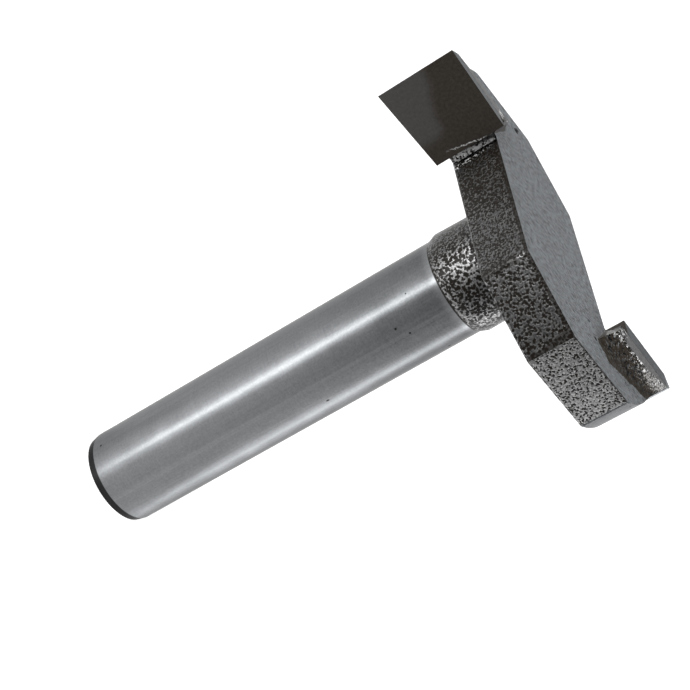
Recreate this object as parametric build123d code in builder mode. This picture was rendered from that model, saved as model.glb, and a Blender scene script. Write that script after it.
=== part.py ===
from build123d import *
from math import asin, cos, degrees, radians, sin, sqrt, tan
import os

os.makedirs("parts", exist_ok=True)

# The tool stands on the flat end of its shank. Z is the tool's axis and the head is up.
# The two wings lie along X. The tool turns to the right, seen from the shank.
# Everything is in millimetres.

# Shank and collar
shank_radius = 6.35
shank_length = 54.1
end_lead = 1.1
end_drop = 0.25
collar_lead = 1.1
collar_length = 6.1
collar_radius = 6.76
collar_top_radius = 6.6

# Head
wing_thickness = 6.45
body_radius = 23.3
tip_overhang = 1.7
relief_step = 0.15
relief_end_y = -8.4
facet_round = 0.7
heel_round = 0.5
base_round = 0.4

# Corners of one half of the head, seen on its end face
nose_x = 5.2
nose_y = 12.75
shoulder_x = 4.6
shoulder_y = -18.2
heel_x = 15.7
heel_y = -16.75
root_x = 11.95

# Carbide tips
rake_offset = 3.84
tip_thickness = 1.9
tip_inner_x = 13.3
tip_rise = 2.2
tip_drop = 1.9
top_relief = 1.0
low_relief = 3.9
back_clearance = 4.0
side_clearance = 26.0

# Broken corner of the second tip
chip_length = 2.2
chip_depth = 0.5

# Braze between a tip and its seat
braze_film = 0.1
braze_inset = 0.15
bead_depth = 1.2
bead_side = 0.45
bead_hollow = 0.45

# Lug that stands up behind each tip, with a land, a hollow back and a slanted inner end
lug_start_x = 8.5
lug_shelf_x = 12.4
lug_bend_x = 18.6
lug_land = 2.3
lug_bend_land = 1.9
lug_end_land = 0.1
lug_start_foot_y = -10.5
lug_shelf_foot_y = -13.7
lug_bend_foot_y = -10.9
lug_end_foot_y = -8.9
lug_backing = 0.3
lug_inner_run = 0.8
lug_inner_wall = 0.5
lug_inner_slant = 25.0
foot_angle = 4.0
lug_root = 1.0

# How far a profile runs past the metal that it cuts or fills
overrun = 3.0

# Heights along the axis
wing_base_z = shank_length + collar_lead + collar_length
end_face_z = wing_base_z + wing_thickness
root_z = end_face_z - lug_root
tip_low_z = wing_base_z - tip_drop
tip_top_z = end_face_z + tip_rise

cutting_radius = body_radius + tip_overhang
far_x = cutting_radius + overrun
high_z = tip_top_z + overrun
seat_y = -(rake_offset + tip_thickness + braze_film)

# The tip's outer edge, and its two ends, which draw in toward the axis
tip_outer_x = sqrt(cutting_radius**2 - rake_offset**2)
top_slope = tan(radians(top_relief))
low_slope = tan(radians(low_relief))
back_slope = tan(radians(back_clearance))
side_slope = tan(radians(side_clearance + degrees(asin(rake_offset / cutting_radius))))
heel_slope = (heel_y - shoulder_y) / (heel_x - shoulder_x)

# The body's outer end is turned round, with a flat behind the tip that carries on its relief
tip_back_x = tip_outer_x - tip_thickness * side_slope
relief_x = tip_back_x - relief_step
relief_end_x = sqrt(body_radius**2 - relief_end_y**2)

# The lug backs the whole tip. Its inner end leans back toward the axis, in a line from the seat.
lug_inner_x = tip_inner_x - lug_backing
lug_inner_foot_x = lug_inner_x - lug_inner_run
inner_direction = (-sin(radians(lug_inner_slant)), -cos(radians(lug_inner_slant)), 0)
foot_direction = (cos(radians(foot_angle)), sin(radians(foot_angle)))


def top_z(x, depth):
    """Height of the ground top, at x and this far behind the cutting edge."""
    return tip_top_z - (tip_outer_x - x) * top_slope - depth * back_slope


def low_z(x, depth):
    """Height of the tip's lower side, at x and this far behind its edge."""
    return tip_low_z + (tip_outer_x - x) * low_slope + depth * back_slope


with BuildSketch() as outer_form:
    Circle(body_radius)
    with PolarLocations(0, 2):
        Polygon(
            (0, seat_y),
            (0, relief_end_y),
            (relief_end_x, relief_end_y),
            (relief_x, seat_y),
            align=None,
        )


def lug_section(x, land, foot_y):
    """Section of the lug across its wing: a ground land and a hollow back."""
    crest = top_z(x, -seat_y - rake_offset)
    land_end = (seat_y - land, crest - land * back_slope)
    foot = (foot_y, end_face_z)
    with BuildSketch(Plane.YZ.offset(x)) as section:
        with BuildLine():
            Polyline(
                foot,
                (foot_y, root_z),
                (seat_y, root_z),
                (seat_y, crest),
                land_end,
            )
            TangentArc(foot, land_end, tangent=foot_direction)
        make_face()
    return section.sketch


with BuildPart() as cutter_body:
    # Shank and collar, turned together
    with BuildSketch(Plane.XZ):
        with BuildLine():
            Polyline(
                (0, 0),
                (shank_radius - end_drop, 0),
                (shank_radius, end_lead),
                (shank_radius, shank_length),
                (collar_radius, shank_length + collar_lead),
                (collar_top_radius, wing_base_z),
                (collar_top_radius, wing_base_z + lug_root),
                (0, wing_base_z + lug_root),
                close=True,
            )
        make_face()
    revolve(axis=Axis.Z)

    # The head is one slab with six long sides, turned round at its two outer ends
    with BuildSketch(Plane.XY.offset(wing_base_z)):
        with BuildLine():
            Polyline(
                (shoulder_x, shoulder_y),
                (far_x, shoulder_y + heel_slope * (far_x - shoulder_x)),
                (far_x, seat_y),
                (root_x, seat_y),
                (nose_x, nose_y),
                (-shoulder_x, -shoulder_y),
                (-far_x, -shoulder_y - heel_slope * (far_x - shoulder_x)),
                (-far_x, -seat_y),
                (-root_x, -seat_y),
                (-nose_x, -nose_y),
                close=True,
            )
        make_face()
        add(outer_form.sketch, mode=Mode.INTERSECT)
    extrude(amount=wing_thickness)

    # Softened corners between the cast sides, at the heels, and round the side toward the shank
    uprights = cutter_body.edges().filter_by(Axis.Z).filter_by_position(Axis.Z, wing_base_z, end_face_z)
    by_reach = uprights.sort_by(lambda edge: Vector(edge.center().X, edge.center().Y).length)
    fillet(by_reach[2:6], radius=facet_round)
    outer_uprights = uprights.filter_by(lambda edge: abs(edge.center().X) > root_x)
    fillet(outer_uprights.sort_by(lambda edge: abs(edge.center().Y))[-2:], radius=heel_round)
    underside = cutter_body.faces().filter_by(Axis.Z).sort_by(Axis.Z)[1]
    fillet(underside.edges(), radius=base_round)

    # A lug stands up behind each tip, with a hollow slope down to the end face
    with BuildPart(mode=Mode.PRIVATE) as lug:
        add(lug_section(lug_start_x, lug_land, lug_start_foot_y))
        add(lug_section(lug_shelf_x, lug_land, lug_shelf_foot_y))
        add(lug_section(lug_bend_x, lug_bend_land, lug_bend_foot_y))
        add(lug_section(tip_back_x, lug_end_land, lug_end_foot_y))
        loft(ruled=True)
        inner_foot = (lug_inner_foot_x, end_face_z)
        inner_wall_foot = (lug_inner_x - lug_inner_wall, end_face_z + lug_inner_wall / 2)
        with BuildSketch(Plane.XZ.offset(-seat_y)):
            with BuildLine():
                Polyline(
                    inner_foot,
                    (lug_inner_foot_x, root_z),
                    (far_x, root_z),
                    (far_x, high_z),
                    (lug_inner_x, high_z),
                    (lug_inner_x, top_z(lug_inner_x, tip_thickness)),
                    inner_wall_foot,
                )
                TangentArc(inner_foot, inner_wall_foot, tangent=foot_direction)
            make_face()
        extrude(amount=far_x, dir=inner_direction, mode=Mode.INTERSECT)
        with BuildSketch(Plane.XY):
            add(outer_form.sketch)
        extrude(amount=high_z, mode=Mode.INTERSECT)
    with PolarLocations(0, 2):
        add(lug.part)

cutter_body.part.label = "cutter_body"
export_step(cutter_body.part, "parts/cutter_body.step")


def tip_face(depth):
    """The tip's outline, this far behind its rake face."""
    reach = tip_outer_x - depth * side_slope
    with BuildSketch(Plane.XZ.offset(rake_offset + depth)) as outline:
        with BuildLine():
            Polyline(
                (tip_inner_x, low_z(tip_inner_x, depth)),
                (reach, low_z(reach, depth)),
                (reach, top_z(reach, depth)),
                (tip_inner_x, top_z(tip_inner_x, depth)),
                close=True,
            )
        make_face()
    return outline.sketch


# The first tip is whole
with BuildPart() as carbide_tip_1:
    with Locations(Rotation(0, 0, 180)):
        add(tip_face(0))
        add(tip_face(tip_thickness))
    loft(ruled=True)

carbide_tip_1.part.label = "carbide_tip_1"
export_step(carbide_tip_1.part, "parts/carbide_tip_1.step")

# The second tip has lost the outer corner of its end edge
with BuildPart() as carbide_tip_2:
    add(tip_face(0))
    add(tip_face(tip_thickness))
    loft(ruled=True)
    with BuildSketch(Plane.XZ.offset(rake_offset)):
        with BuildLine():
            Polyline(
                (tip_outer_x - chip_length, top_z(tip_outer_x - chip_length, 0)),
                (tip_outer_x - chip_length, high_z),
                (far_x, high_z),
                (far_x, tip_top_z - chip_depth - (far_x - tip_outer_x) * chip_depth / chip_length),
                (tip_outer_x, tip_top_z - chip_depth),
                close=True,
            )
        make_face()
    extrude(amount=tip_thickness, mode=Mode.SUBTRACT)

carbide_tip_2.part.label = "carbide_tip_2"
export_step(carbide_tip_2.part, "parts/carbide_tip_2.step")

# Braze: a film over the seat, and a bead that closes the corner beside the tip, up to its top
braze_low_z = wing_base_z + base_round + braze_inset
film_end_x = relief_x - braze_inset
flank_slope = (root_x - nose_x) / (nose_y - seat_y)
bead_side_x = root_x - bead_side * flank_slope

with BuildPart() as braze_joint_2:
    with BuildSketch(Plane.XZ.offset(-seat_y - braze_film)):
        with BuildLine():
            Polyline(
                (tip_inner_x, braze_low_z),
                (film_end_x, braze_low_z),
                (film_end_x, top_z(film_end_x, tip_thickness) - 2 * braze_inset),
                (tip_inner_x, top_z(tip_inner_x, tip_thickness) - 2 * braze_inset),
                close=True,
            )
        make_face()
    extrude(amount=braze_film)
    with BuildSketch(Plane.XY.offset(braze_low_z)):
        with BuildLine():
            Polyline(
                (tip_inner_x, seat_y + bead_depth),
                (tip_inner_x, seat_y),
                (root_x, seat_y),
                (bead_side_x, seat_y + bead_side),
            )
            ThreePointArc(
                (bead_side_x, seat_y + bead_side),
                (tip_inner_x - bead_hollow, seat_y + bead_side),
                (tip_inner_x, seat_y + bead_depth),
            )
        make_face()
    extrude(amount=end_face_z - braze_inset - braze_low_z)
    with BuildSketch(Plane.XY.offset(end_face_z - braze_inset)):
        with BuildLine():
            Polyline(
                (tip_inner_x, seat_y + bead_depth),
                (tip_inner_x, seat_y),
                (lug_inner_x, seat_y),
                close=True,
            )
        make_face()
    extrude(amount=top_z(tip_inner_x, tip_thickness) - braze_inset - end_face_z)

braze_joint_2.part.label = "braze_joint_2"
export_step(braze_joint_2.part, "parts/braze_joint_2.step")

with BuildPart() as braze_joint_1:
    with Locations(Rotation(0, 0, 180)):
        add(braze_joint_2.part)

braze_joint_1.part.label = "braze_joint_1"
export_step(braze_joint_1.part, "parts/braze_joint_1.step")
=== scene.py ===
from math import cos, pi, radians, sin

import bmesh
import bpy
from mathutils import Matrix, Vector


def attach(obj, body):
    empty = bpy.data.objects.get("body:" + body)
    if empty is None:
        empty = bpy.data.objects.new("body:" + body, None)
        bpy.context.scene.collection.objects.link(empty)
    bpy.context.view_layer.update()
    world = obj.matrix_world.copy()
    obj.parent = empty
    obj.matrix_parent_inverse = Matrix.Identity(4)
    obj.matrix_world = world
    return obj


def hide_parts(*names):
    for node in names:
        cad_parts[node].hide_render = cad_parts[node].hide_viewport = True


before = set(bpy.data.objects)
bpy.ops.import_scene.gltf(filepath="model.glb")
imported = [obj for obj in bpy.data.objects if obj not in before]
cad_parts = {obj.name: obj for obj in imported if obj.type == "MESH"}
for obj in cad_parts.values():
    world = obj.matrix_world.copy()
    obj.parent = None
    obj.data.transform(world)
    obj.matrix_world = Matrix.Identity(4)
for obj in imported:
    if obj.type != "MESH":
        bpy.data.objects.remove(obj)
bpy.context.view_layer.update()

MM = 0.001

# Places along the tool's axis and on its head, in the frame of the part
SHANK_TOP = 54.1 * MM
SHANK_RADIUS = 6.35 * MM
END_LEAD = 1.1 * MM
WING_BASE = 61.3 * MM
END_FACE = 67.75 * MM
BODY_RADIUS = 23.3 * MM
RAKE_OFFSET = 3.84 * MM
TIP_INNER = 13.3 * MM

# Level directions square to the facets that end at each shoulder and at each nose
SHOULDER_NORMAL = (0.874, -0.486, 0)
NOSE_NORMAL = (0.76, 0.65, 0)

# Marks that stand alone in the photograph: the place and radius of each, in millimetres
SHANK_SPECKS = (
    (-1.76, -6.1, 46.7, 0.2),
    (-0.45, -6.33, 47.95, 0.18),
    (-4.47, -4.51, 49.95, 0.15),
    (-6.13, -1.67, 2.4, 0.2),
)
END_FACE_PITS = (
    (-7.39, 15.61, 67.75, 0.6),
    (-7.15, 16.3, 67.75, 0.45),
    (8.1, -9.5, 67.75, 0.25),
    (9.4, -11.8, 67.75, 0.4),
)
# A light line along the whole shank, by its place and radius as seen along the axis
SHANK_LINE = (-0.59, -6.32, 0, 0.38)

# Slanting lines of solder at the inner end of each tip. Each gives a slope and the distance
# from the axis at height 0: the outer line lies beside the tip, the inner one down the bead.
OUTER_SOLDER = (0.202, 26.82 * MM)
INNER_SOLDER = (0.16, 22.25 * MM)

# Camera, as solved from the outlines in the photograph
PHOTO_PIXELS = 690
FOCAL_PIXELS = 1780.38
CENTRE_X_PIXELS = 339.14
CENTRE_Y_PIXELS = 333.19
SENSOR_WIDTH = 36
CAMERA_AZIMUTH = -23.91
CAMERA_ELEVATION = 20.75
CAMERA_ROLL = 60.07
CAMERA_DISTANCE = 223.81 * MM
CAMERA_TARGET = Vector((-2.304, 0, 38.072)) * MM
NEAR_CLIP = 0.01

# Lamps, all at one height and distance: name, azimuth, width and radiance
LAMP_ELEVATION = 24
LAMP_DISTANCE = 1.2
LAMP_HEIGHT = 0.95
LAMP_TARGET = Vector((0, 0, 0.04))
LAMPS = (
    ("left_strip", -148, 0.13, 80),
    ("left_skirt", -170, 0.5, 9),
    ("right_strip", -5, 0.3, 30),
    ("right_skirt", -25, 0.5, 1.5),
)

# The floor: half its side, and the glow and the matt tone of its white and its grey part
FLOOR_HALF = 6.0
FLOOR_GLOW = (0.66, 0.06)
FLOOR_MATT = (0.38, 0.05)

# Strips of light on the floor, which the shank mirrors: azimuth and radiance of each
STREAKS = ((-151.5, 7.5), (-7, 6))
STREAK_SPREAD = 0.08

# The part of a noise's range that its values fill
NOISE_LOW = 0.3
NOISE_HIGH = 0.7

# Corners this close together are one, and an edge bent this far, in degrees, is crisp
WELD_DISTANCE = 1e-4 * MM
CRISP_ANGLE = 25


def level_direction(azimuth):
    """The level direction at an azimuth in degrees, counted from +X toward +Y."""
    return Vector((cos(radians(azimuth)), sin(radians(azimuth)), 0))


UP = Vector((0, 0, 1))
TO_CAMERA = level_direction(CAMERA_AZIMUTH - 90)
SIDEWAYS = level_direction(CAMERA_AZIMUTH)


class Graph:
    """A material's or the world's node tree, built by name.

    A mask is a value that is 1 inside a zone and 0 outside it, with a soft edge.
    """

    def __init__(self, owner):
        owner.use_nodes = True
        self.tree = owner.node_tree
        self.tree.nodes.clear()

    def add(self, kind, inputs=None, **settings):
        node = self.tree.nodes.new(kind)
        for key, value in settings.items():
            setattr(node, key, value)
        for key, value in (inputs or {}).items():
            if isinstance(value, bpy.types.NodeSocket):
                self.tree.links.new(value, node.inputs[key])
            else:
                node.inputs[key].default_value = value
        return node

    # Numbers

    def math(self, operation, *values):
        return self.add("ShaderNodeMath", dict(enumerate(values)), operation=operation).outputs[0]

    def chain(self, operation, values):
        total, *rest = values
        for value in rest:
            total = self.math(operation, total, value)
        return total

    def plus(self, *terms):
        return self.chain("ADD", terms)

    def minus(self, *terms):
        return self.chain("SUBTRACT", terms)

    def times(self, *factors):
        return self.chain("MULTIPLY", factors)

    def most(self, *values):
        return self.chain("MAXIMUM", values)

    def size(self, value):
        return self.math("ABSOLUTE", value)

    def outside(self, mask):
        return self.math("SUBTRACT", 1.0, mask)

    def ramp(self, value, low, high, to_low=0.0, to_high=1.0, smooth=True):
        """Take a value from one range to another and hold it at the ends."""
        kind = "SMOOTHSTEP" if smooth else "LINEAR"
        inputs = {
            "Value": value, "From Min": low, "From Max": high, "To Min": to_low, "To Max": to_high,
        }
        return self.add("ShaderNodeMapRange", inputs, interpolation_type=kind).outputs[0]

    def fade(self, value, low, high):
        return self.ramp(value, low, high, 1.0, 0.0)

    def on(self, mask, inside, outside=1.0):
        """One value inside a mask and another outside it, a factor of 1 unless it is given."""
        return self.ramp(mask, 0.0, 1.0, outside, inside)

    # Places

    def vector(self, operation, *values):
        node = self.add("ShaderNodeVectorMath", dict(enumerate(values)), operation=operation)
        return node.outputs

    def parts(self, place):
        return self.add("ShaderNodeSeparateXYZ", {0: place}).outputs

    def along(self, place, direction):
        return self.vector("DOT_PRODUCT", place, direction)["Value"]

    def stretched(self, place, scale):
        return self.add("ShaderNodeMapping", {"Vector": place, "Scale": scale}).outputs[0]

    # Patterns

    def noise(self, place, scale, detail, roughness=0.5):
        inputs = {"Vector": place, "Scale": scale, "Detail": detail, "Roughness": roughness}
        return self.add("ShaderNodeTexNoise", inputs).outputs[0]

    def spread(self, noise, low, high):
        """Lay a noise out evenly between two values."""
        return self.ramp(noise, NOISE_LOW, NOISE_HIGH, low, high, smooth=False)

    def sway(self, noise, amount):
        """Lay a noise out evenly to both sides of zero."""
        return self.spread(noise, -amount, amount)

    def cells(self, place, scale):
        """Distance to the nearest of scattered points, and a random colour for that point."""
        return self.add("ShaderNodeTexVoronoi", {"Vector": place, "Scale": scale}).outputs

    def scattered(self, place, scale, core, rim, above):
        """A mask for scattered spots, kept where their random number is above a level."""
        cells = self.cells(place, scale)
        pick = self.add("ShaderNodeSeparateColor", {0: cells["Color"]}).outputs[0]
        spot = self.fade(cells["Distance"], core, rim)
        return self.times(spot, self.math("GREATER_THAN", pick, above))

    def spots(self, place, marks):
        """A mask for marks that are given by their place and radius in millimetres."""
        inside = 0.0
        for *centre, radius in marks:
            gap = self.vector("DISTANCE", place, Vector(centre) * MM)["Value"]
            inside = self.most(self.fade(gap, 0.5 * radius * MM, radius * MM), inside)
        return inside

    # Colours and surfaces

    def blend(self, mask, outside, inside):
        inputs = {0: mask, 6: outside, 7: inside}
        return self.add("ShaderNodeMix", inputs, data_type="RGBA").outputs[2]

    def colour(self, tone, warm=0.0):
        """Turn a tone into an almost neutral colour, as grey() does."""
        red, blue = tone, tone
        if warm:
            red, blue = self.times(tone, 1 + warm), self.times(tone, 1 - warm)
        return self.add("ShaderNodeCombineColor", {0: red, 1: tone, 2: blue}).outputs[0]

    def bump(self, height, strength, distance):
        inputs = {"Height": height, "Strength": strength, "Distance": distance}
        return self.add("ShaderNodeBump", inputs).outputs[0]

    def shader(self, kind, inputs):
        return self.add(kind, inputs).outputs[0]

    def layers(self, mask, outside, inside):
        return self.shader("ShaderNodeMixShader", {0: mask, 1: outside, 2: inside})

    def finish(self, surface, kind="ShaderNodeOutputMaterial"):
        self.add(kind, {"Surface": surface})


def grey(value, warm=0.0):
    """An almost neutral colour. Warm above zero leans to brown and below zero to blue."""
    return (value * (1 + warm), value, value * (1 - warm), 1)


def put_in_scene(name, data):
    item = bpy.data.objects.new(name, data)
    bpy.context.scene.collection.objects.link(item)
    return item


# Camera, floor, lamps and room

def make_camera():
    data = bpy.data.cameras.new("camera")
    data.sensor_width = SENSOR_WIDTH
    data.lens = FOCAL_PIXELS / PHOTO_PIXELS * SENSOR_WIDTH
    data.shift_x = 0.5 - CENTRE_X_PIXELS / PHOTO_PIXELS
    data.shift_y = CENTRE_Y_PIXELS / PHOTO_PIXELS - 0.5
    data.clip_start = NEAR_CLIP
    swing = Matrix.Rotation(radians(CAMERA_AZIMUTH), 4, "Z")
    turn = swing @ Matrix.Rotation(radians(90 - CAMERA_ELEVATION), 4, "X")
    place = CAMERA_TARGET + turn.to_3x3() @ Vector((0, 0, CAMERA_DISTANCE))
    roll = Matrix.Rotation(radians(CAMERA_ROLL), 4, "Z")
    camera = put_in_scene("camera", data)
    camera.matrix_world = Matrix.Translation(place) @ turn @ roll
    bpy.context.scene.camera = camera


def streak(graph, place, azimuth, radiance):
    """A strip of light on the floor that widens outward.

    It starts below the point of the shank that mirrors it to the camera, so the highlight
    stays straight.
    """
    mirror = level_direction(0.5 * (azimuth + CAMERA_AZIMUTH - 90))
    place = graph.vector("ADD", place, -SHANK_RADIUS * mirror)["Vector"]
    out = graph.along(place, level_direction(azimuth))
    across = graph.size(graph.along(place, level_direction(azimuth + 90)))
    slope = graph.math("DIVIDE", across, graph.most(out, MM))
    edge = graph.ramp(out, 20 * MM, 140 * MM, 0.5 * STREAK_SPREAD, 0.9 * STREAK_SPREAD)
    inside = graph.fade(slope, edge, graph.times(edge, 2.2))
    return graph.times(inside, graph.ramp(out, MM, 20 * MM, 0.0, radiance))


def make_floor():
    """White where the camera looks, greyer around it, with the strips of light beside the tool."""
    half = FLOOR_HALF
    corners = [(-half, -half, 0), (half, -half, 0), (half, half, 0), (-half, half, 0)]
    mesh = bpy.data.meshes.new("floor")
    mesh.from_pydata(corners, [], [(0, 1, 2, 3)])
    floor = put_in_scene("floor", mesh)
    material = bpy.data.materials.new("floor_white")
    graph = Graph(material)
    place = graph.add("ShaderNodeTexCoord").outputs["Object"]
    # The white part ends just in front of the tool and widens behind it
    toward = graph.along(place, TO_CAMERA)
    half_width = graph.most(graph.math("MULTIPLY_ADD", toward, -0.3, 0.075), 0.06)
    beyond = graph.minus(graph.size(graph.along(place, SIDEWAYS)), half_width)
    in_front = graph.ramp(toward, 0.03, 0.13)
    around = graph.most(in_front, graph.ramp(beyond, 0.0, 0.1, 0.0, 0.36))
    level = graph.ramp(around, 0.0, 1.0, *FLOOR_GLOW, smooth=False)
    strips = (streak(graph, place, *settings) for settings in STREAKS)
    level = graph.plus(level, *strips)
    # The glow is there for what sees the floor, and the tool's shadow falls on the matt part
    rays = graph.add("ShaderNodeLightPath").outputs
    kinds = ("Is Camera Ray", "Is Glossy Ray", "Is Transmission Ray")
    seen = graph.most(*(rays[kind] for kind in kinds))
    strength = graph.times(seen, level)
    glow = graph.shader("ShaderNodeEmission", {"Color": (1, 1, 1, 1), "Strength": strength})
    shade = graph.ramp(around, 0.0, 1.0, *FLOOR_MATT, smooth=False)
    matt = graph.shader("ShaderNodeBsdfDiffuse", {"Color": graph.colour(shade)})
    graph.finish(graph.shader("ShaderNodeAddShader", {0: glow, 1: matt}))
    mesh.materials.append(material)


def make_lamp(name, azimuth, width, radiance):
    """A soft box that the camera doesn't see."""
    data = bpy.data.lights.new(name, "AREA")
    data.shape = "RECTANGLE"
    data.size = width
    data.size_y = LAMP_HEIGHT
    data.energy = radiance * width * LAMP_HEIGHT * pi
    elevation = radians(LAMP_ELEVATION)
    out = level_direction(azimuth) * cos(elevation) + UP * sin(elevation)
    lamp = put_in_scene(name, data)
    lamp.location = LAMP_TARGET + out * LAMP_DISTANCE
    lamp.rotation_euler = (LAMP_TARGET - lamp.location).to_track_quat("-Z", "Y").to_euler()
    lamp.visible_camera = False


def make_room():
    """A light wall behind the tool, dark above it and toward the camera, and a light ceiling."""
    world = bpy.data.worlds.new("studio")
    bpy.context.scene.world = world
    graph = Graph(world)
    direction = graph.add("ShaderNodeTexCoord").outputs["Generated"]
    height = graph.along(direction, UP)
    wall = graph.ramp(graph.along(direction, TO_CAMERA), -0.6, 0.9, 0.46, 0.12)
    level = graph.times(wall, graph.ramp(height, 0.36, 0.5, 1.0, 0.25))
    level = graph.plus(level, graph.ramp(height, 0.72, 0.9, 0.0, 0.5))
    back = graph.shader("ShaderNodeBackground", {"Color": (1, 1, 1, 1), "Strength": level})
    graph.finish(back, "ShaderNodeOutputWorld")


# Materials

def new_material(name):
    """A material, its graph, and where a point lies and faces in the frame of the part."""
    material = bpy.data.materials.new(name)
    graph = Graph(material)
    coordinates = graph.add("ShaderNodeTexCoord").outputs
    return material, graph, coordinates["Object"], coordinates["Normal"]


def shank_steel():
    """Centreless ground steel: fine marks round the shank, and a few axial lines and specks."""
    material, graph, place, _ = new_material("shank_steel")
    height = graph.along(place, UP)
    rings = graph.noise(graph.stretched(place, (40, 40, 9000)), 1.0, 3.0, 0.6)
    lines = graph.noise(graph.stretched(place, (1800, 1800, 14)), 1.0, 3.0, 0.6)
    cloud = graph.noise(place, 160, 3.0, 0.6)
    grain = graph.noise(place, 3600, 2.0, 0.7)
    line = graph.spots(graph.stretched(place, (1, 1, 0)), (SHANK_LINE,))
    tone = graph.plus(
        graph.sway(rings, 0.008),
        graph.sway(lines, 0.012),
        graph.sway(cloud, 0.015),
        graph.sway(grain, 0.018),
        # Painted shade darkens it toward the head, which shades the shank there, and a painted
        # highlight makes a lighter ring just before the collar
        graph.ramp(height, 0.5 * SHANK_TOP, SHANK_TOP, 0.17, 0.12),
        graph.ramp(height, SHANK_TOP - 1.2 * MM, SHANK_TOP, 0.0, 0.06),
        graph.times(line, 0.02),
    )
    speck = graph.scattered(graph.stretched(place, (1, 1, 0.6)), 420, 0.05, 0.075, 0.86)
    speck = graph.most(speck, graph.spots(place, SHANK_SPECKS))
    colour = graph.blend(speck, graph.colour(tone, -0.03), grey(0.03))
    # Painted shade: the end's chamfer is darker than the ground side
    chamfer = graph.fade(height, END_LEAD - 0.1 * MM, END_LEAD)
    colour = graph.blend(chamfer, colour, grey(0.02))
    rough = graph.plus(
        graph.sway(cloud, 0.03),
        graph.times(speck, 0.3),
        graph.ramp(height, 0.5 * SHANK_TOP, SHANK_TOP, 0.36, 0.33),
    )
    around = graph.add("ShaderNodeTangent", direction_type="RADIAL", axis="Z")
    graph.finish(graph.shader("ShaderNodeBsdfPrincipled", {
        "Base Color": colour, "Metallic": 1.0, "Roughness": rough, "Specular Tint": grey(0.65),
        "Anisotropic": 0.85, "Anisotropic Rotation": 0.25, "Tangent": around.outputs[0],
        "Normal": graph.bump(graph.minus(rings, speck), 0.25, 0.004 * MM),
    }))
    return material


def ground_finish(graph, place, level, pits=0.0, contrast=0.22):
    """Surface ground steel or carbide: brush marks along the wings, and a few small dark pits."""
    marks = graph.noise(graph.stretched(place, (180, 3600, 3600)), 1.0, 3.0, 0.65)
    grain = graph.noise(graph.stretched(place, (1500, 4500, 4500)), 1.0, 2.0, 0.7)
    dashes = graph.noise(graph.stretched(place, (700, 3200, 3200)), 1.0, 1.0)
    cloud = graph.noise(place, 300, 3.0, 0.6)
    pit = graph.most(graph.scattered(place, 620, 0.06, 0.11, 0.8), pits)
    tone = graph.plus(
        graph.spread(marks, 0.26, 0.32),
        graph.sway(cloud, 0.015),
        graph.sway(grain, contrast),
    )
    tone = graph.times(tone, level, graph.ramp(dashes, 0.64, 0.72, 1.0, 0.45))
    relief = graph.minus(graph.times(marks, 0.2), pit)
    metal = graph.shader("ShaderNodeBsdfPrincipled", {
        "Base Color": graph.colour(tone, -0.05), "Metallic": 1.0, "Roughness": 0.46,
        "Normal": graph.bump(relief, 0.35, 0.02 * MM),
    })
    return graph.layers(pit, metal, graph.shader("ShaderNodeBsdfDiffuse", {"Color": grey(0.015)}))


def inner_end(graph, place):
    """A mask for where braze and coat run over the inner end of a tip and its lug, on a slant."""
    x, y, _ = graph.parts(place)
    behind = graph.minus(graph.size(y), RAKE_OFFSET)
    edge = graph.math("MULTIPLY_ADD", behind, 0.45, TIP_INNER + 0.05 * MM)
    edge = graph.plus(edge, graph.sway(graph.noise(place, 2200, 1.0), 0.12 * MM))
    return graph.ramp(graph.minus(edge, graph.size(x)), -0.03 * MM, 0.03 * MM)


def solder_line(graph, place, line, width):
    """A mask for a line of solder that slants across the inner end of a tip."""
    slope, foot = line
    x, _, height = graph.parts(place)
    gap = graph.minus(graph.math("MULTIPLY_ADD", height, slope, graph.size(x)), foot)
    gap = graph.plus(gap, graph.sway(graph.noise(place, 1800, 2.0), 0.1 * MM))
    return graph.fade(graph.size(gap), 0.4 * width, width)


class Head:
    """Masks for the faces of the head and the collar that look different."""

    def __init__(self, graph, place, facing):
        self.place = place
        x, _, self.height = graph.parts(place)
        self.out = graph.size(x)
        self.side = graph.size(graph.along(facing, (0, 1, 0)))
        self.upward = graph.along(facing, UP)
        self.risen = graph.minus(self.height, END_FACE)
        self.fine = graph.noise(place, 4600, 2.0, 0.6)
        self.collar = graph.fade(self.height, WING_BASE - 0.1 * MM, WING_BASE)
        self.lug = graph.ramp(self.risen, 0.0, 0.05 * MM)
        # The facets that look along Y, and those that look mostly along X
        self.trailing = graph.times(graph.ramp(self.side, 0.95, 0.985), graph.outside(self.collar))
        self.front = graph.times(graph.fade(self.side, 0.42, 0.6), graph.outside(self.lug))
        # The plain top of each lug
        self.land = graph.times(
            graph.ramp(self.risen, 1.3 * MM, 1.5 * MM),
            graph.ramp(self.upward, 0.93, 0.98),
            graph.ramp(self.out, 13.7 * MM, 14.3 * MM),
        )
        # The corner of the seat, where solder ran over the coat, and where painted light lifts the
        # coat that the tip shades from the lamps
        painted_light_corner = graph.math("MULTIPLY_ADD", self.height, -0.04, self.out)
        painted_light_corner = graph.plus(painted_light_corner, graph.sway(self.fine, 0.1 * MM))
        below = graph.math("LESS_THAN", self.risen, -0.2 * MM)
        painted_light_corner = graph.ramp(painted_light_corner, 8.85 * MM, 9.05 * MM)
        self.painted_light_corner = graph.times(painted_light_corner, self.front, below)


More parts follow.
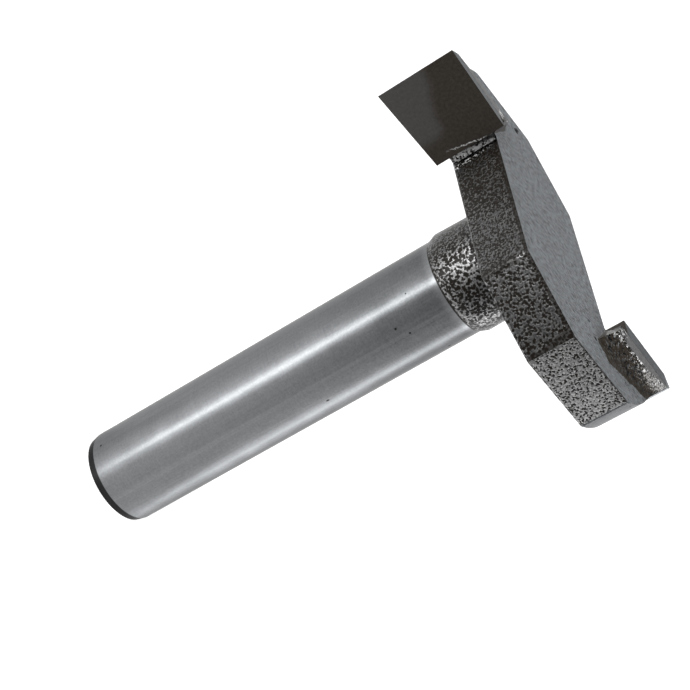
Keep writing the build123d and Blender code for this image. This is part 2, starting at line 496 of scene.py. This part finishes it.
def coat_level(graph, head):
    """How far a point lies from the nearest pit of the coat, in parts of the gap between pits."""
    inputs = {"Vector": head.place, "Scale": 1300, "Detail": 1.0}
    bend = graph.add("ShaderNodeTexNoise", inputs).outputs["Color"]
    bend = graph.vector("SUBTRACT", bend, (0.5, 0.5, 0.5))["Vector"]
    bend = graph.vector("MULTIPLY", bend, (0.3 * MM,) * 3)["Vector"]
    bent = graph.vector("ADD", head.place, bend)["Vector"]
    wide = graph.cells(bent, graph.on(head.trailing, 2800, 2450))["Distance"]
    close = graph.cells(bent, 3300)["Distance"]
    distance = graph.plus(
        graph.times(close, head.front),
        graph.times(wide, graph.outside(head.front)),
    )
    outward = graph.ramp(head.out, 6.5 * MM, 10 * MM)
    return graph.plus(
        distance,
        graph.sway(head.fine, 0.14),
        graph.sway(graph.noise(head.place, 260, 2.0), 0.05),
        graph.times(head.trailing, 0.1),
        graph.times(head.collar, -0.03),
        graph.times(head.front, outward, -0.1),
    )


def coat_pools_and_shade(graph, head):
    """A mask for where the silver is mostly hidden: coat pooled black along edges and at the
    collar's foot, a darker band along each shoulder, and painted shade on the noses.
    """
    depth = graph.plus(graph.minus(END_FACE, head.height), graph.sway(head.fine, 0.1 * MM))
    rim = graph.minus(depth, graph.on(head.trailing, 0.22 * MM, 0.55 * MM))
    rim = graph.times(
        graph.fade(rim, -0.08 * MM, 0.08 * MM),
        graph.ramp(depth, -0.2 * MM, -0.1 * MM),
    )
    shoulder = graph.plus(
        graph.size(graph.along(head.place, SHOULDER_NORMAL)),
        graph.sway(head.fine, 0.25 * MM),
        graph.ramp(depth, 0.5 * MM, 5 * MM, 0.4 * MM, -0.3 * MM),
    )
    above_base = graph.ramp(head.height, WING_BASE, WING_BASE + 0.5 * MM)
    shoulder = graph.times(
        graph.ramp(shoulder, 11.6 * MM, 12.2 * MM),
        graph.fade(head.side, 0.93, 0.98),
        graph.minus(above_base, head.lug),
        graph.fade(head.out, 8 * MM, 9 * MM),
    )
    # Painted shade: the rounded noses lose their silver more than about 1.5 mm below the end face,
    # which hides their highlight there
    nose = graph.size(graph.along(head.place, NOSE_NORMAL))
    nose = graph.times(
        graph.ramp(nose, 11.9 * MM, 12.05 * MM, 0.0, 0.75),
        graph.fade(head.out, 7 * MM, 8 * MM),
        graph.ramp(depth, 1.3 * MM, 1.8 * MM),
        graph.outside(head.collar),
    )
    foot = graph.fade(head.height, SHANK_TOP + 0.15 * MM, SHANK_TOP + 0.35 * MM)
    return graph.most(rim, shoulder, nose, foot)


def coat_tone(graph, head):
    """Tone of the silver: brightest on the trailing facets and high on each lug, partly by painted
    highlights, with painted shade on the front facets and in the hollows.
    """
    blotch = graph.ramp(graph.noise(head.place, 1500, 2.0, 0.6), 0.45, 0.55, 0.1, 1.9)
    blotch = graph.times(blotch, graph.ramp(head.out, 14 * MM, 22 * MM, 1.4, 0.5))
    # On each lug, painted shade darkens the low part of the hollow and a painted highlight lights
    # the faces that look up
    on_lug = graph.times(
        graph.ramp(head.risen, 0.9 * MM, 1.6 * MM, 0.12, 1.0),
        graph.ramp(head.upward, 0.8, 0.95, 0.5, 2.2),
        graph.on(head.land, 1.0, blotch),
    )
    # Painted light on the corner of the seat, stronger lower down, where the tip shades it from the
    # lamps
    solder = graph.ramp(head.height, 62 * MM, 67 * MM, 2.8, 1.5)
    tone = graph.times(
        graph.spread(head.fine, 0.04, 0.26),
        # A painted highlight on the trailing facets, and painted shade on the front ones
        graph.on(head.trailing, 1.95),
        graph.on(head.front, 0.65),
        graph.on(head.lug, on_lug),
        graph.on(head.painted_light_corner, solder),
        graph.on(head.land, 0.3),
    )
    return graph.plus(tone, graph.times(head.land, 0.13))


def silver_coat(graph, head):
    """Glossy brown-black pits, left open by a silver network that is finest on the front facets."""
    level = coat_level(graph, head)
    silver = graph.times(
        graph.ramp(level, 0.46, 0.62),
        graph.on(coat_pools_and_shade(graph, head), 0.1),
    )
    silver = graph.most(silver, graph.times(head.land, 0.85))
    hollow = graph.times(head.lug, graph.fade(head.risen, 1.4 * MM, 1.7 * MM))
    pits = graph.blend(hollow, grey(0.003, 0.3), grey(0.009, 0.35))
    spread = graph.on(graph.most(head.collar, head.lug), 0.42, 0.28)
    return graph.shader("ShaderNodeBsdfPrincipled", {
        "Base Color": graph.blend(silver, pits, graph.colour(coat_tone(graph, head))),
        # The seat's corner is matt, so that its painted light shows
        "Metallic": graph.times(silver, graph.outside(head.painted_light_corner)),
        "Roughness": graph.ramp(silver, 0.0, 1.0, 0.3, spread, smooth=False),
        "Specular IOR Level": 0.15,
        "Normal": graph.bump(graph.ramp(level, 0.2, 0.8), 0.5, 0.05 * MM),
    })


def hammered_coat():
    """Silver vein coat over the casting, with the faces that were ground through it."""
    material, graph, place, facing = new_material("hammered_coat")
    head = Head(graph, place, facing)
    # Ground: the flat end face, up to a wavy foot of each hollow, and the turned outer ends
    wave = graph.spread(graph.noise(place, 700, 3.0, 0.6), -0.02 * MM, 0.04 * MM)
    end_face = graph.times(
        graph.ramp(head.upward, 0.6, 0.7),
        graph.fade(graph.minus(head.risen, wave), 0.01 * MM, 0.03 * MM),
    )
    from_axis = graph.vector("MULTIPLY", place, (1, 1, 0))["Vector"]
    radius = graph.vector("LENGTH", from_axis)["Value"]
    turned = graph.times(
        graph.ramp(radius, BODY_RADIUS - 0.25 * MM, BODY_RADIUS - 0.1 * MM),
        graph.fade(head.upward, 0.2, 0.5),
    )
    pits = graph.spots(place, END_FACE_PITS)
    # Painted shade: the turned outer ends take the ground finish at under a fifth of its tone
    ground = ground_finish(graph, place, graph.on(turned, 0.18), pits)
    is_ground = graph.most(end_face, turned)
    graph.finish(graph.layers(is_ground, silver_coat(graph, head), ground))
    return material


def rake_face(graph, place):
    """Dark carbide, a little lighter on the outer part toward the shank, with a run of solder."""
    x, _, height = graph.parts(place)
    out = graph.size(x)
    edge = graph.plus(
        graph.times(out, 0.31),
        58 * MM,
        graph.sway(graph.noise(place, 220, 3.0, 0.6), 0.5 * MM),
    )
    patch = graph.times(
        graph.ramp(graph.minus(edge, height), -0.9 * MM, 0.9 * MM),
        graph.ramp(out, 15.2 * MM, 17.4 * MM),
    )
    grain = graph.noise(place, 2600, 3.0, 0.7)
    tone = graph.spread(grain, 0.048, 0.075)
    light = graph.colour(graph.plus(tone, 0.05), 0.04)
    colour = graph.blend(patch, graph.colour(tone, 0.15), light)
    colour = graph.blend(graph.scattered(place, 380, 0.05, 0.09, 0.8), colour, grey(0.35))
    run = graph.times(
        solder_line(graph, place, OUTER_SOLDER, 0.15 * MM),
        graph.ramp(graph.noise(place, 4200, 2.0, 0.6), 0.44, 0.56),
        graph.ramp(height, 61.6 * MM, 64.5 * MM),
    )
    return graph.shader("ShaderNodeBsdfPrincipled", {
        "Base Color": graph.blend(run, colour, grey(0.9)), "Metallic": 1.0, "Roughness": 0.42,
        "Normal": graph.bump(grain, 0.3, 0.01 * MM),
    })


def tungsten_carbide():
    """Ground carbide with a dark rake face, and flux over its inner end."""
    material, graph, place, facing = new_material("tungsten_carbide")
    x, y, _ = graph.parts(place)
    flux = graph.shader("ShaderNodeBsdfPrincipled", {
        "Base Color": grey(0.012, 0.15), "Roughness": 0.45, "Specular IOR Level": 0.1,
    })
    up = graph.ramp(graph.along(facing, UP), 0.6, 0.7)
    inner = graph.most(
        graph.fade(graph.size(x), TIP_INNER + 0.02 * MM, TIP_INNER + 0.05 * MM),
        graph.times(up, inner_end(graph, place)),
    )
    sides = graph.layers(inner, ground_finish(graph, place, 0.65, contrast=0.08), flux)
    front = graph.fade(graph.size(y), RAKE_OFFSET + 0.02 * MM, RAKE_OFFSET + 0.04 * MM)
    graph.finish(graph.layers(front, sides, rake_face(graph, place)))
    return material


def silver_braze():
    """Rough solder, bright on its lumps and along two lines, with painted shade darkening it
    between them, where a gap lies.
    """
    material, graph, place, _ = new_material("silver_braze")
    lumps = graph.ramp(graph.noise(place, 3000, 2.0, 0.6), 0.4, 0.52)
    lines = graph.most(
        solder_line(graph, place, OUTER_SOLDER, 0.25 * MM),
        solder_line(graph, place, INNER_SOLDER, 0.8 * MM),
    )
    # It is dark where it rises to the end face and above it
    tone = graph.times(
        graph.ramp(graph.along(place, UP), END_FACE - 0.3 * MM, END_FACE, 1.0, 0.06),
        graph.on(lines, 0.85, 0.12),
    )
    graph.finish(graph.shader("ShaderNodeBsdfPrincipled", {
        "Base Color": graph.blend(lumps, grey(0.03, 0.1), graph.colour(tone)),
        "Metallic": 0.85, "Roughness": 0.4, "Normal": graph.bump(lumps, 0.6, 0.08 * MM),
    }))
    return material


# The tool

def make_body():
    """The steel body: the CAD's own form, with a material and crisp or soft edges for each face."""
    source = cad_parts["cutter_body"]
    work = bmesh.new()
    work.from_mesh(source.data)
    bmesh.ops.remove_doubles(work, verts=work.verts, dist=WELD_DISTANCE)
    on_end_face = {}
    for face in work.faces:
        face.smooth = True
        height = face.calc_center_median().z
        face.material_index = 0 if height < SHANK_TOP else 1
        on_end_face[face] = face.normal.z > 0.9999 and abs(height - END_FACE) < 0.01 * MM
    # The end face was ground last, so its edges stay crisp, even round the shallow hollows
    for edge in work.edges:
        alike = len({on_end_face[face] for face in edge.link_faces}) == 1
        edge.smooth = edge.calc_face_angle(0) < radians(CRISP_ANGLE) and alike
    mesh = bpy.data.meshes.new("finished_body")
    work.to_mesh(mesh)
    work.free()
    for material in (shank_steel(), hammered_coat()):
        mesh.materials.append(material)
    body = put_in_scene("finished_body", mesh)
    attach(body, "root")
    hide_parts("cutter_body")


def dress(names, material):
    for name in names:
        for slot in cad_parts[name].material_slots:
            slot.material = material


make_camera()
make_floor()
make_room()
for lamp_settings in LAMPS:
    make_lamp(*lamp_settings)
make_body()
dress(("carbide_tip_1", "carbide_tip_2"), tungsten_carbide())
dress(("braze_joint_1", "braze_joint_2"), silver_braze())

bpy.context.scene.view_settings.view_transform = "Standard"
